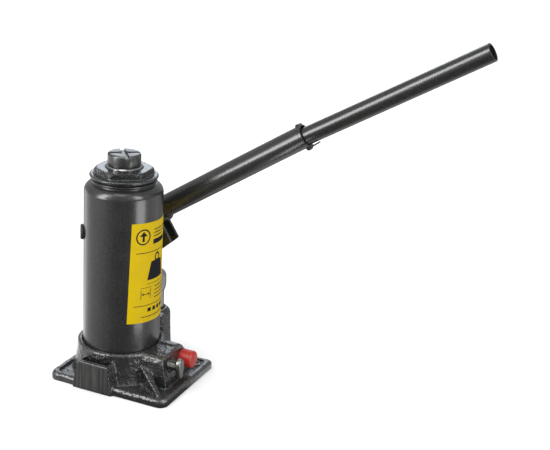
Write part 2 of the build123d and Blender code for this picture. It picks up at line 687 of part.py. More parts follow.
with BuildPart() as delivery_ball:
    with Locations((-2.0, 33.0, 11.6)):
        Sphere(2.5)
delivery_ball.part.label = "delivery_ball"
export_step(delivery_ball.part, "parts/delivery_ball.step")

with BuildPart() as delivery_spring:
    with BuildLine() as delivery_coil:
        Helix(pitch=1.1, height=3.3, radius=2.6, center=(-2.0, 33.0, 4.9), direction=(0, 0, 1))
    with BuildSketch(Plane(origin=delivery_coil.line @ 0, z_dir=delivery_coil.line % 0)):
        Circle(0.3)
    sweep(path=delivery_coil.line, is_frenet=True)
delivery_spring.part.label = "delivery_spring"
export_step(delivery_spring.part, "parts/delivery_spring.step")

# screw plugs that close the drillings under and behind the base
with BuildPart() as passage_plugs:
    with BuildSketch(Plane.XY.offset(0.6)):
        with Locations((-2.0, 33.0)):
            Circle(3.57)
    extrude(amount=3.8)
    with BuildSketch(Plane.XY.offset(0.6)):
        with Locations((-2.0, 33.0)):
            RegularPolygon(radius=1.8, side_count=6)
    extrude(amount=2.0, mode=Mode.SUBTRACT)
    with BuildSketch(Plane.XZ.offset(-54.0)):
        with Locations((pump_x, 5.0)):
            Circle(1.58)
    extrude(amount=-4.0)
passage_plugs.part.label = "passage_plugs"
export_step(passage_plugs.part, "parts/passage_plugs.step")

# strainer over the suction hole in the reservoir's floor
with BuildPart() as suction_strainer:
    with BuildSketch(Plane.XY.offset(seat_z - 1.6)):
        with Locations((pump_x, 24.8)):
            Circle(1.47)
            Circle(1.0, mode=Mode.SUBTRACT)
    extrude(amount=1.6)
    with BuildSketch(Plane.XY.offset(seat_z)):
        with Locations((pump_x, 24.4)):
            Circle(2.1)
    extrude(amount=0.6)
suction_strainer.part.label = "suction_strainer"
export_step(suction_strainer.part, "parts/suction_strainer.step")

# ============================================================================
# lever: pressed socket on two pins, and the two-piece handle
# ============================================================================
rear = along(-socket_depth - 1.6)
cheek_s = -5.4                 # front edge of the cheeks, behind the socket's mouth


def cheek_point(s_, drop):
    p = along(s_, drop)
    return (p[0], p[2])


with BuildPart() as handle_socket:
    # rolled tube that takes the handle
    with BuildSketch(handle_plane(-socket_depth - 1.6)):
        Circle(11.2)
    extrude(amount=socket_depth + 1.6)
    # two cheeks down to the pins
    for sgn in (-1, 1):
        y_in = pump_y + sgn * lever_gap
        with BuildSketch(Plane.XZ.offset(-y_in)) as cheek:
            with BuildLine():
                Polyline(cheek_point(cheek_s, 4.0), cheek_point(cheek_s, 24.6), (20.35, 101.1), (20.2, 100.3), (19.5, 99.4),
                         (5.6, 87.0), (4.3, 85.2), (3.9, 82.6), (4.2, 72.2), (5.0, 69.9), (8.75, 63.8), plunger_pin,
                         (plunger_pin[0], plunger_pin[1] - 4.0), (fulcrum[0], fulcrum[1] - 7.0), (fulcrum[0] - 7.0, fulcrum[1]),
                         (-20.6, 80.0), (rear[0], rear[2]), close=True)
            make_face()
            with Locations(plunger_pin):
                Circle(4.0)
            with Locations(fulcrum):
                Circle(7.0)
        extrude(amount=-sgn * cheek_t)
    # bore for the handle, with a lip left as its stop
    with BuildSketch(handle_plane(-socket_depth)):
        Circle(tube1_r + 0.07)
    extrude(amount=socket_depth + 20.0, mode=Mode.SUBTRACT)
    with BuildSketch(handle_plane(-socket_depth - 3.0)):
        Circle(6.6)
    extrude(amount=5.0, mode=Mode.SUBTRACT)
    # pin holes
    with BuildSketch(Plane.XZ.offset(-pump_y)):
        with Locations(plunger_pin):
            Circle(pin_r + 0.03)
        with Locations(fulcrum):
            Circle(3.53)
    extrude(amount=12.0, both=True, mode=Mode.SUBTRACT)
handle_socket.part.label = "handle_socket"
export_step(handle_socket.part, "parts/handle_socket.step")

cheek_near = pump_y - lever_gap - cheek_t
cheek_far = pump_y + lever_gap + cheek_t


def pin_section(xz):
    """Section plane through a pin: x runs along +Y, y runs along +Z."""
    return Plane(origin=(xz[0], 0, xz[1]), x_dir=(0, 1, 0), z_dir=(1, 0, 0))


with BuildPart() as fulcrum_pin:
    with BuildSketch(pin_section(fulcrum)):
        with BuildLine():
            Polyline((cheek_near - 1.8, 0), (cheek_near - 1.8, 4.6), (cheek_near - 1.4, 5.0), (cheek_near - 0.03, 5.0),
                     (cheek_near - 0.03, 3.5), (cheek_far + 0.3, 3.5), (cheek_far + 0.3, 2.8), (cheek_far + 1.2, 2.8),
                     (cheek_far + 1.2, 3.5), (cheek_far + 2.2, 3.5), (cheek_far + 2.8, 2.9), (cheek_far + 2.8, 0), close=True)
        make_face()
    revolve(axis=Axis(origin=(fulcrum[0], 0, fulcrum[1]), direction=(0, 1, 0)))
fulcrum_pin.part.label = "fulcrum_pin"
export_step(fulcrum_pin.part, "parts/fulcrum_pin.step")

with BuildPart() as plunger_pin_part:
    with BuildSketch(pin_section(plunger_pin)):
        with BuildLine():
            Polyline((cheek_near - 1.6, 0), (cheek_near - 1.6, 3.5), (cheek_near - 1.2, 3.9), (cheek_near - 0.03, 3.9),
                     (cheek_near - 0.03, pin_r), (cheek_far + 0.3, pin_r), (cheek_far + 0.3, 1.9), (cheek_far + 1.2, 1.9),
                     (cheek_far + 1.2, pin_r), (cheek_far + 2.0, pin_r), (cheek_far + 2.4, 2.1), (cheek_far + 2.4, 0), close=True)
        make_face()
    revolve(axis=Axis(origin=(plunger_pin[0], 0, plunger_pin[1]), direction=(0, 1, 0)))
plunger_pin_part.part.label = "plunger_pin"
export_step(plunger_pin_part.part, "parts/plunger_pin.step")

# open retaining clips in the pins' grooves
with BuildPart() as pin_clips:
    with BuildSketch(Plane.XZ.offset(-(cheek_far + 0.35))):
        with Locations(fulcrum):
            Circle(5.6)
            Circle(2.84, mode=Mode.SUBTRACT)
        with Locations((fulcrum[0], fulcrum[1] - 4.5)):
            Rectangle(4.0, 5.0, mode=Mode.SUBTRACT)
        with Locations(plunger_pin):
            Circle(3.9)
            Circle(1.94, mode=Mode.SUBTRACT)
        with Locations((plunger_pin[0], plunger_pin[1] - 3.3)):
            Rectangle(2.8, 4.0, mode=Mode.SUBTRACT)
    extrude(amount=-0.8)
pin_clips.part.label = "pin_clips"
export_step(pin_clips.part, "parts/pin_clips.step")

# lower handle tube: plain tube, with pressed ears and a tongue at its far end
with BuildPart() as handle_lower:
    with BuildSketch(handle_plane(-socket_depth + 0.2)):
        Circle(tube1_r)
        Circle(tube1_ri, mode=Mode.SUBTRACT)
    extrude(amount=socket_depth - 0.2 + tube1_len)
    # ears pressed outwards at the top and the bottom of the end
    with BuildSketch(Plane(origin=along(tube1_len), x_dir=(ux, 0, uz), z_dir=(0, -1, 0))):
        with BuildLine():
            Polyline((-4.2, 8.0), (-4.0, 8.6), (-3.4, 10.0), (-2.2, 10.45), (-0.4, 9.7), (0.0, 8.9), (0.0, 8.0), close=True)
        make_face()
        with BuildLine():
            Polyline((-3.9, -8.0), (-3.9, -9.0), (-3.4, -10.6), (-1.8, -11.2), (-0.6, -10.6), (-0.5, -8.0), close=True)
        make_face()
        with BuildLine():
            Polyline((-1.5, -8.2), (-1.5, -9.9), (1.4, -9.9), (6.8, -9.5), (6.8, -8.35), (1.6, -8.7), (0.0, -8.2), close=True)
        make_face()
    extrude(amount=2.6, both=True)
handle_lower.part.label = "handle_lower"
export_step(handle_lower.part, "parts/handle_lower.step")

# upper handle tube: thinner, tipped down by the play in the lower one
tip = along(tube1_len, drop=0.70)
tube2_plane = Plane(origin=(tip[0] - tube2_in * u2x, pump_y, tip[2] - tube2_in * u2z), x_dir=(0, 1, 0), z_dir=(u2x, 0, u2z))
with BuildPart() as handle_upper:
    with BuildSketch(tube2_plane):
        Circle(tube2_r)
        Circle(tube2_ri, mode=Mode.SUBTRACT)
    extrude(amount=tube2_in + tube2_len)
    chamfer(handle_upper.edges().filter_by(GeomType.CIRCLE).sort_by(Axis.X)[-2:], length=0.3)
handle_upper.part.label = "handle_upper"
export_step(handle_upper.part, "parts/handle_upper.step")
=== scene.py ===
import json
import math
import random

import bmesh
import bpy
import numpy as np
from mathutils import Matrix, Vector, noise


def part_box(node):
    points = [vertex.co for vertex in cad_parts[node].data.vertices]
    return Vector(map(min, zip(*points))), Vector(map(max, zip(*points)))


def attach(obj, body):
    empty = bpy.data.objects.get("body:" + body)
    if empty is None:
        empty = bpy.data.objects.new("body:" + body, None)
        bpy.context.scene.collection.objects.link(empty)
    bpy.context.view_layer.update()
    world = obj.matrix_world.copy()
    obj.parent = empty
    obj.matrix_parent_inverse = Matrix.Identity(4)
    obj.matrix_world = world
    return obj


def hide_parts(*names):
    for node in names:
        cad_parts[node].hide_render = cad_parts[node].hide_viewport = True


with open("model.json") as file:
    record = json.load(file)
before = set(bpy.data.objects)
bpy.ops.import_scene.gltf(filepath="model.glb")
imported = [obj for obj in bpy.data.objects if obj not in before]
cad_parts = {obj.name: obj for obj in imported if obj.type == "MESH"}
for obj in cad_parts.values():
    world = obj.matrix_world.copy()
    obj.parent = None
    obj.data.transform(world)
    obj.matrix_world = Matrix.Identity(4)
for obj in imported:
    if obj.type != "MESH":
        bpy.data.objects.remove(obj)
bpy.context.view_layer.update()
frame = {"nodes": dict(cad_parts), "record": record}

MM = 0.001
random.seed(7)
scene = bpy.context.scene
nodes = frame["nodes"]


# ----------------------------------------------------------------------------
# camera: at the photograph's viewing angle
# ----------------------------------------------------------------------------
def make_camera():
    yaw, pitch, roll = math.radians(-22.44), math.radians(19.36), math.radians(3.66)
    fwd = Vector((math.sin(yaw) * math.cos(pitch), math.cos(yaw) * math.cos(pitch), -math.sin(pitch)))
    right = Vector((math.cos(yaw), -math.sin(yaw), 0.0))
    up = right.cross(fwd)
    r2 = right * math.cos(roll) + up * math.sin(roll)
    u2 = up * math.cos(roll) - right * math.sin(roll)
    cam = bpy.data.cameras.new("camera")
    cam.sensor_width = 36.0
    cam.lens = 73.59
    cam.clip_start, cam.clip_end = 0.02, 60.0
    ob = bpy.data.objects.new("camera", cam)
    scene.collection.objects.link(ob)
    m = Matrix.Identity(4)
    for i in range(3):
        m[i][0], m[i][1], m[i][2] = r2[i], u2[i], -fwd[i]
    m[0][3], m[1][3], m[2][3] = 0.41490, -0.70203, 0.41384
    ob.matrix_world = m
    scene.camera = ob
    return ob


make_camera()


# ----------------------------------------------------------------------------
# material helpers
# ----------------------------------------------------------------------------
class Mat:
    """A node material with object coordinates in millimetres."""

    def __init__(self, name, **shader):
        self.m = bpy.data.materials.new(name)
        self.m.use_nodes = True
        self.nt = self.m.node_tree
        self.nt.nodes.clear()
        self.out = self.nt.nodes.new("ShaderNodeOutputMaterial")
        self.b = self.nt.nodes.new("ShaderNodeBsdfPrincipled")
        self.link(self.b.outputs[0], self.out.inputs[0])
        for k, v in shader.items():
            self.b.inputs[k.replace("_", " ")].default_value = v
        self.tc = self.nt.nodes.new("ShaderNodeTexCoord")
        self.mm = self.mapping((1000, 1000, 1000))
        self.normal = None

    def link(self, a, b):
        self.nt.links.new(a, b)

    def mapping(self, scale, rot=(0, 0, 0), loc=(0, 0, 0)):
        n = self.nt.nodes.new("ShaderNodeMapping")
        n.inputs["Scale"].default_value = scale
        n.inputs["Rotation"].default_value = rot
        n.inputs["Location"].default_value = loc
        self.link(self.tc.outputs["Object"], n.inputs[0])
        return n.outputs[0]

    def noise(self, scale, detail=3.0, rough=0.55, vec=None, distortion=0.0):
        n = self.nt.nodes.new("ShaderNodeTexNoise")
        n.inputs["Scale"].default_value = scale
        n.inputs["Detail"].default_value = detail
        n.inputs["Roughness"].default_value = rough
        n.inputs["Distortion"].default_value = distortion
        self.link(vec if vec is not None else self.mm, n.inputs["Vector"])
        return n.outputs["Fac"]

    def voronoi(self, scale, feature="F1", vec=None, rand=1.0):
        n = self.nt.nodes.new("ShaderNodeTexVoronoi")
        n.feature = feature
        n.inputs["Scale"].default_value = scale
        n.inputs["Randomness"].default_value = rand
        self.link(vec if vec is not None else self.mm, n.inputs["Vector"])
        return n.outputs["Distance"]

    def ramp(self, fac, stops):
        n = self.nt.nodes.new("ShaderNodeValToRGB")
        els = n.color_ramp.elements
        while len(els) > 1:
            els.remove(els[-1])
        els[0].position = stops[0][0]
        els[0].color = (*stops[0][1], 1) if len(stops[0][1]) == 3 else stops[0][1]
        for p, c in stops[1:]:
            e = els.new(p)
            e.color = (*c, 1) if len(c) == 3 else c
        self.link(fac, n.inputs[0])
        return n.outputs[0]

    def maprange(self, fac, a, b, c, d):
        n = self.nt.nodes.new("ShaderNodeMapRange")
        for i, v in zip((1, 2, 3, 4), (a, b, c, d)):
            n.inputs[i].default_value = v
        self.link(fac, n.inputs[0])
        return n.outputs[0]

    def math(self, op, a, b=None, clamp=False):
        n = self.nt.nodes.new("ShaderNodeMath")
        n.operation = op
        n.use_clamp = clamp
        for i, v in enumerate((a, b)):
            if v is None:
                continue
            if isinstance(v, (int, float)):
                n.inputs[i].default_value = v
            else:
                self.link(v, n.inputs[i])
        return n.outputs[0]

    def mix(self, fac, a, b, blend="MIX"):
        n = self.nt.nodes.new("ShaderNodeMix")
        n.data_type = "RGBA"
        n.blend_type = blend
        for i, v in ((0, fac), (6, a), (7, b)):
            if isinstance(v, (int, float)):
                n.inputs[i].default_value = v
            elif isinstance(v, tuple):
                n.inputs[i].default_value = (*v, 1) if len(v) == 3 else v
            else:
                self.link(v, n.inputs[i])
        return n.outputs[2]

    def bump(self, height, strength=0.5, distance=0.0001):
        n = self.nt.nodes.new("ShaderNodeBump")
        n.inputs["Strength"].default_value = strength
        n.inputs["Distance"].default_value = distance
        self.link(height, n.inputs["Height"])
        if self.normal is not None:
            self.link(self.normal, n.inputs["Normal"])
        self.normal = n.outputs[0]

    def set(self, name, out):
        self.link(out, self.b.inputs[name])

    def done(self):
        if self.normal is not None:
            self.link(self.normal, self.b.inputs["Normal"])
        return self.m


def xyz(m, vec):
    n = m.nt.nodes.new("ShaderNodeSeparateXYZ")
    m.link(vec, n.inputs[0])
    return n.outputs


def hammer_paint(name, dark, light, streak_axis=2, metallic=0.12, rough=(0.24, 0.38), speck=1.0):
    m = Mat(name, Metallic=metallic, Coat_Weight=0.45, Coat_Roughness=0.18, Specular_IOR_Level=0.5)
    cells = m.voronoi(0.95)
    grain = m.noise(2.6, 4.0, 0.65)
    blot = m.noise(0.045, 3.0)
    sc = [1000.0, 1000.0, 1000.0]
    sc[streak_axis] = 18.0
    streak = m.noise(1.3, 3.0, 0.6, vec=m.mapping(tuple(sc)))
    speckle = m.ramp(m.math("ADD", m.math("MULTIPLY", cells, 0.6), m.math("MULTIPLY", grain, 0.6)),
                     [(0.34, dark), (0.55, tuple((a + b) / 2 for a, b in zip(dark, light))), (0.85, light)])
    tint = m.mix(m.maprange(blot, 0.3, 0.7, 0.0, 0.35), speckle, tuple(c * 0.72 for c in dark))
    lined = m.mix(m.maprange(streak, 0.4, 0.75, 0.0, 0.30), tint, tuple(min(1, c * 1.25) for c in light))
    m.set("Base Color", lined)
    m.set("Roughness", m.maprange(grain, 0.3, 0.75, rough[0], rough[1]))
    m.bump(m.noise(0.16, 2.0), 0.25, 0.0002)
    m.bump(cells, 0.35 * speck, 0.00006)
    m.bump(grain, 0.30 * speck, 0.00005)
    return m.done()


def cast_paint(name, dark, light, rough=(0.22, 0.45), bump=1.0, coarse=0.55):
    m = Mat(name, Metallic=0.10, Coat_Weight=0.75, Coat_Roughness=0.14, Specular_IOR_Level=0.60)
    sand = m.noise(1.15, 5.0, 0.70)
    pits = m.voronoi(coarse)
    lump = m.noise(0.32, 4.0, 0.6)
    c = m.ramp(sand, [(0.32, dark), (0.58, tuple((a * 1.4 + b) / 2.4 for a, b in zip(dark, light))), (0.80, light)])
    c = m.mix(m.maprange(lump, 0.35, 0.7, 0.0, 0.5), c, tuple(x * 0.6 for x in dark))
    m.set("Base Color", c)
    m.set("Roughness", m.maprange(lump, 0.3, 0.7, rough[0], rough[1]))
    m.bump(lump, 0.5 * bump, 0.0006)
    m.bump(pits, 0.35 * bump, 0.0003)
    m.bump(sand, 0.60 * bump, 0.00036)
    return m.done()


def steel(name, color, rough=(0.22, 0.36), axis=None, metallic=1.0, fine=1.0, stain=None):
    """Turned or ground steel: fine marks that run round the given axis."""
    m = Mat(name, Metallic=metallic)
    sc = [1000.0 * 0.03] * 3
    if axis is not None:
        sc = [30.0] * 3
        sc[axis] = 1000.0 * 3.0
    lines = m.noise(1.0, 4.0, 0.7, vec=m.mapping(tuple(sc)) if axis is not None else None)
    blot = m.noise(0.10, 4.0, 0.6)
    dark = tuple(c * 0.62 for c in color)
    c = m.mix(m.maprange(lines, 0.35, 0.7, 0.0, 0.55), color, dark)
    c = m.mix(m.maprange(blot, 0.45, 0.75, 0.0, 0.45), c, stain if stain is not None else tuple(x * 0.5 for x in color))
    m.set("Base Color", c)
    m.set("Roughness", m.maprange(m.math("ADD", m.math("MULTIPLY", lines, 0.5), m.math("MULTIPLY", blot, 0.5)), 0.35, 0.65, *rough))
    m.bump(lines, 0.25 * fine, 0.00004)
    m.bump(m.noise(4.0, 3.0), 0.10 * fine, 0.00002)
    return m.done()


def rubber(name, color=(0.018, 0.018, 0.019)):
    m = Mat(name, Specular_IOR_Level=0.35)
    g = m.noise(3.0, 4.0, 0.6)
    b = m.noise(0.25, 3.0)
    m.set("Base Color", m.mix(m.maprange(b, 0.35, 0.7, 0.0, 0.6), color, tuple(c * 2.1 for c in color)))
    m.set("Roughness", m.maprange(g, 0.3, 0.7, 0.5, 0.72))
    m.bump(g, 0.25, 0.00004)
    return m.done()


def moulded(name, color, deep, rough=(0.30, 0.46)):
    m = Mat(name, Specular_IOR_Level=0.35, Subsurface_Weight=0.06)
    m.b.inputs["Subsurface Radius"].default_value = (0.9, 0.2, 0.1)
    m.b.inputs["Subsurface Scale"].default_value = 0.001
    swirl = m.noise(0.22, 3.0, 0.5, distortion=1.2)
    g = m.noise(2.2, 3.0)
    c = m.mix(m.maprange(swirl, 0.35, 0.7, 0.0, 0.7), color, deep)
    m.set("Base Color", c)
    m.set("Roughness", m.maprange(g, 0.3, 0.7, *rough))
    m.bump(swirl, 0.35, 0.0003)
    m.bump(g, 0.18, 0.00004)
    return m.done()


M = {}
M["hammer_paint"] = hammer_paint("hammer_paint", (0.0075, 0.008, 0.0078), (0.034, 0.035, 0.033))
M["handle_paint"] = hammer_paint("handle_paint", (0.0075, 0.008, 0.0075), (0.030, 0.031, 0.028), streak_axis=0, rough=(0.20, 0.32), speck=0.8)
M["cast_paint"] = cast_paint("cast_paint", (0.009, 0.0095, 0.0095), (0.046, 0.047, 0.045), rough=(0.16, 0.34), bump=1.5)
M["bare_steel"] = steel("bare_steel", (0.48, 0.48, 0.47), axis=2)
M["ground_steel"] = steel("ground_steel", (0.40, 0.40, 0.39), rough=(0.16, 0.30), axis=2)
M["dark_steel"] = steel("dark_steel", (0.14, 0.142, 0.14), rough=(0.20, 0.38), metallic=0.85)
M["zinc_steel"] = steel("zinc_steel", (0.20, 0.205, 0.195), rough=(0.24, 0.42))
M["spring_steel"] = steel("spring_steel", (0.20, 0.20, 0.21), rough=(0.24, 0.36))
M["copper"] = steel("copper", (0.70, 0.36, 0.22), rough=(0.25, 0.4))
M["brass_mesh"] = steel("brass_mesh", (0.66, 0.50, 0.22), rough=(0.25, 0.4))
M["black_rubber"] = rubber("black_rubber")
M["red_plastic"] = moulded("red_plastic", (0.44, 0.025, 0.019), (0.28, 0.013, 0.010))


def yellow_film(name):
    m = Mat(name, Specular_IOR_Level=0.06)
    blot = m.noise(0.09, 4.0, 0.6)
    g = m.noise(1.8, 4.0, 0.6)
    c = m.mix(m.maprange(blot, 0.35, 0.7, 0.0, 0.55), (0.61, 0.425, 0.0), (0.54, 0.365, 0.0))
    c = m.mix(m.maprange(g, 0.5, 0.8, 0.0, 0.25), c, (0.66, 0.47, 0.002))
    m.set("Base Color", c)
    m.set("Roughness", m.maprange(g, 0.3, 0.7, 0.46, 0.60))
    m.bump(blot, 0.2, 0.0002)
    m.bump(g, 0.12, 0.00003)
    return m.done()


def ink(name, color):
    m = Mat(name, Specular_IOR_Level=0.06)
    g = m.noise(1.4, 4.0, 0.6)
    m.set("Base Color", m.mix(m.maprange(g, 0.35, 0.75, 0.0, 0.7), color, tuple(min(1, x * 1.8 + 0.006) for x in color)))
    m.set("Roughness", m.maprange(g, 0.3, 0.7, 0.46, 0.60))
    m.bump(g, 0.1, 0.00003)
    return m.done()


M["label_yellow"] = yellow_film("label_yellow")
M["label_ink"] = ink("label_ink", (0.007, 0.0065, 0.009))
M["label_grey"] = ink("label_grey", (0.22, 0.16, 0.02))
M["label_paper"] = ink("label_paper", (0.60, 0.46, 0.03))


# ----------------------------------------------------------------------------
# mesh helpers
# ----------------------------------------------------------------------------
def link(name, mesh, mat, body, smooth_deg=35.0, replaces=()):
    ob = bpy.data.objects.new(name, mesh)
    scene.collection.objects.link(ob)
    mesh.materials.clear()
    for x in (mat if isinstance(mat, list) else [mat]):
        mesh.materials.append(x)
    shade(mesh, smooth_deg)
    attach(ob, body)
    if replaces:
        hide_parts(*replaces)
    return ob


def shade(mesh, deg):
    mesh.polygons.foreach_set("use_smooth", [True] * len(mesh.polygons))
    bm = bmesh.new()
    bm.from_mesh(mesh)
    lim = math.radians(deg)
    for e in bm.edges:
        if len(e.link_faces) == 2:
            e.smooth = e.calc_face_angle(0.0) < lim
    bm.to_mesh(mesh)
    bm.free()
    mesh.update()


def cad_copy(node, name):
    """A welded copy of a CAD node's mesh, for a piece that replaces it."""
    bm = bmesh.new()
    bm.from_mesh(nodes[node].data)
    bmesh.ops.remove_doubles(bm, verts=bm.verts, dist=1e-6)
    bmesh.ops.dissolve_degenerate(bm, edges=bm.edges, dist=1e-7)
    me = bpy.data.meshes.new(name)
    bm.to_mesh(me)
    bm.free()
    for a in ("custom_normal", "sharp_edge", "sharp_face"):
        if a in me.attributes:
            me.attributes.remove(me.attributes[a])
    return me


def evaluated(mesh, mods):
    """Runs modifiers on a mesh and gives the result."""
    ob = bpy.data.objects.new("tmp", mesh)
    scene.collection.objects.link(ob)
    for kind, args in mods:
        md = ob.modifiers.new(kind, kind)
        for k, v in args.items():
            setattr(md, k, v)
    bpy.context.view_layer.update()
    dg = bpy.context.evaluated_depsgraph_get()
    out = bpy.data.meshes.new_from_object(ob.evaluated_get(dg))
    bpy.data.objects.remove(ob)
    return out


def coords(mesh):
    co = np.empty(len(mesh.vertices) * 3, np.float64)
    mesh.vertices.foreach_get("co", co)
    return co.reshape(-1, 3)


def set_coords(mesh, co):
    mesh.vertices.foreach_set("co", co.astype(np.float32).ravel())
    mesh.update()


def normals(mesh):
    n = np.empty(len(mesh.vertices) * 3, np.float64)
    mesh.vertices.foreach_get("normal", n)
    return n.reshape(-1, 3)


def rough_cast(mesh, amp, scales, keep):
    """Pushes vertices along their normals by layered noise; keep(co) gives 0 where the surface stays machined."""
    co, no = coords(mesh), normals(mesh)
    k = keep(co)
    d = np.zeros(len(co))
    for s, a in scales:
        d += a * np.array([noise.noise(Vector(p * (1.0 / (s * MM)))) if w > 0 else 0.0 for p, w in zip(co, k)])
    co += no * (d * amp * MM * k)[:, None]
    return co


def grid_mesh(name, pts, close_u=True, cap=False):
    """A mesh from a grid of points[row][column]; columns wrap round."""
    rows, cols = len(pts), len(pts[0])
    bm = bmesh.new()
    vs = [[bm.verts.new(p) for p in row] for row in pts]
    for i in range(rows - 1):
        for j in range(cols if close_u else cols - 1):
            k = (j + 1) % cols
            bm.faces.new((vs[i][j], vs[i][k], vs[i + 1][k], vs[i + 1][j]))
    if cap:
        bm.faces.new(list(reversed(vs[0])))
        bm.faces.new(vs[-1])
    me = bpy.data.meshes.new(name)
    bmesh.ops.recalc_face_normals(bm, faces=bm.faces)
    bm.to_mesh(me)
    bm.free()
    return me


def thread_points(origin, axis, z0, z1, r_major, r_minor, pitch, cols=48, per_pitch=8, right=True, run0=1.0, run1=1.0):
    """Rows of points of a threaded rod along axis ('x' or 'z'); the thread fades out over run0 and run1 mm."""
    rows = []
    n = int((z1 - z0) / pitch * per_pitch) + 1
    for i in range(n + 1):
        z = z0 + (z1 - z0) * i / n
        row = []
        for j in range(cols):
            t = j / cols
            ph = ((z / pitch) - (t if right else -t)) % 1.0
            w = 1.0 - abs(2.0 * ph - 1.0)
            w = min(1.0, max(0.0, (w - 0.10) / 0.72))
            fade = min(1.0, max(0.0, (z - z0) / run0)) * min(1.0, max(0.0, (z1 - z) / run1))
            r = r_minor + (r_major - r_minor) * (w * fade)
            a = 2 * math.pi * t
            if axis == "z":
                row.append(Vector((origin[0] + r * math.cos(a), origin[1] + r * math.sin(a), z)) * MM)
            else:
                row.append(Vector((z, origin[1] + r * math.cos(a), origin[2] + r * math.sin(a))) * MM)
        rows.append(row)
    return rows


def join_meshes(name, meshes):
    bm = bmesh.new()
    for me in meshes:
        bm.from_mesh(me)
    out = bpy.data.meshes.new(name)
    bm.to_mesh(out)
    bm.free()
    return out


def cut_keep(mesh, point, normal, cap=True):
    """Keeps the side that the normal points to."""
    bm = bmesh.new()
    bm.from_mesh(mesh)
    geom = list(bm.verts) + list(bm.edges) + list(bm.faces)
    r = bmesh.ops.bisect_plane(bm, geom=geom, plane_co=Vector(point) * MM, plane_no=normal, clear_inner=True)
    if cap:
        edges = [e for e in r["geom_cut"] if isinstance(e, bmesh.types.BMEdge)]
        bmesh.ops.holes_fill(bm, edges=edges, sides=0)
    bm.to_mesh(mesh)
    bm.free()
    return mesh


def bevelled(mesh, width, segments=2, deg=28.0):
    return evaluated(mesh, [("BEVEL", dict(width=width * MM, segments=segments, limit_method="ANGLE",
                                           angle_limit=math.radians(deg), use_clamp_overlap=True, miter_outer="MITER_ARC"))])


# ----------------------------------------------------------------------------
# base casting
# ----------------------------------------------------------------------------
def make_base():
    me = cad_copy("base", "base_src")
    # the internal drillings don't show: only the outer skin is remeshed
    me = evaluated(me, [("REMESH", dict(mode="VOXEL", voxel_size=0.00062, adaptivity=0.0)),
                        ("SMOOTH", dict(factor=0.5, iterations=6))])
    lo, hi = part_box("base")
    lo, hi = np.array(lo), np.array(hi)

    def keep(co):
        x, y, z = (co / MM).T
        k = np.ones(len(co))
        face = -43.7 + 0.4 * (z - 1.5) / 21.8                 # the pad's leaning face
        k[(y < face + 0.5) & (np.abs(x) < 17.0)] = 0.08
        k[z < 0.6] = 0.0                                      # underside
        r = np.hypot(x, y)
        k[(r < 31.2) & (z > 22)] = 0.0                        # seat of the tube
        lean = 51.9 - 6.4 * (z - 2.1) / 33.9                  # the boss's end face
        k[(np.abs(x - lean) < 0.7) & (z > 5.5) & (np.abs(y) < 20)] = 0.45
        k[(x > 46.6) & (np.hypot(y + 8.0, z - 20.0) < 5.8) & (x < 48.2)] = 0.0
        k[(x > 46.6) & (np.hypot(y - 12.2, z - 17.9) < 6.9) & (x < 48.2)] = 0.0
        k[(np.hypot(x - 6, y - 46) < 9.3) & (z > 8)] = 0.0    # pump bore
        k[(np.hypot(x + 12, z - 57) < 4.6)] = 0.0             # fulcrum hole
        k[(y > 39) & (z > 42)] = 0.35                         # lug between the lever's cheeks
        k[(x > 22) & (x < 47) & (np.hypot(y + 8.0, z - 20.0) < 4.8)] = 0.0     # valve and ball bore
        k[(x > 17) & (x < 47) & (np.hypot(y - 12.2, z - 17.9) < 4.8)] = 0.0    # safety valve bore
        k[(np.hypot(y - 33.0, z - 7.0) < 4.4) & (np.abs(x) < 12)] = 0.0        # cross drillings
        return k

    co = rough_cast(me, 1.0, [(9.0, 0.22), (3.3, 0.25), (1.6, 0.18)], keep)
    co = np.clip(co, lo + 1e-5, hi - 1e-5)
    flat = co[:, 2] < 0.0006
    co[flat, 2] = lo[2] + 1e-5
    # the ball's bore keeps its full width
    ry, rz = co[:, 1] + 8.0 * MM, co[:, 2] - 20.0 * MM
    rr = np.hypot(ry, rz)
    bore = (co[:, 0] > 27.6 * MM) & (co[:, 0] < 38.6 * MM) & (rr > 2.3 * MM) & (rr < 3.24 * MM)
    co[bore, 1] = ry[bore] / rr[bore] * 3.24 * MM - 8.0 * MM
    co[bore, 2] = rz[bore] / rr[bore] * 3.24 * MM + 20.0 * MM
    z = co[:, 2] / MM
    face = (-43.7 + 0.4 * (z - 1.5) / 21.8) * MM
    pad = (co[:, 1] < face + 0.45 * MM) & (np.abs(co[:, 0]) < 0.0175) & (z > 0.5)
    co[pad, 1] = np.maximum(face[pad] + 4e-5, lo[1] + 2e-5)
    set_coords(me, co)
    mats = [M["cast_paint"], M["pad_face"]]
    ob = link("base_casting", me, mats, "frame", 60.0, replaces=("base",))
    for p in me.polygons:
        c = p.center
        if c[1] < -0.0426 and abs(c[0]) < 0.0168 and p.normal[1] < -0.93 and c[2] > 0.0008:
            p.material_index = 1
    return ob


def pad_face_mat():
    m = Mat("pad_face", Metallic=0.25, Coat_Weight=0.2, Coat_Roughness=0.25)
    lines = m.noise(1.0, 5.0, 0.75, vec=m.mapping((620.0, 60.0, 22.0), rot=(0.0, 0.06, 0.0)))
    sand = m.noise(1.5, 4.0, 0.6)
    c = m.mix(m.maprange(lines, 0.36, 0.66, 0.0, 1.0), (0.013, 0.0135, 0.0130), (0.066, 0.067, 0.062))
    c = m.mix(m.maprange(sand, 0.5, 0.8, 0.0, 0.5), c, (0.016, 0.0165, 0.016))
    m.set("Base Color", c)
    m.set("Roughness", m.maprange(lines, 0.3, 0.7, 0.36, 0.52))
    m.bump(lines, 0.6, 0.00022)
    m.bump(sand, 0.35, 0.00014)
    return m.done()


M["pad_face"] = pad_face_mat()


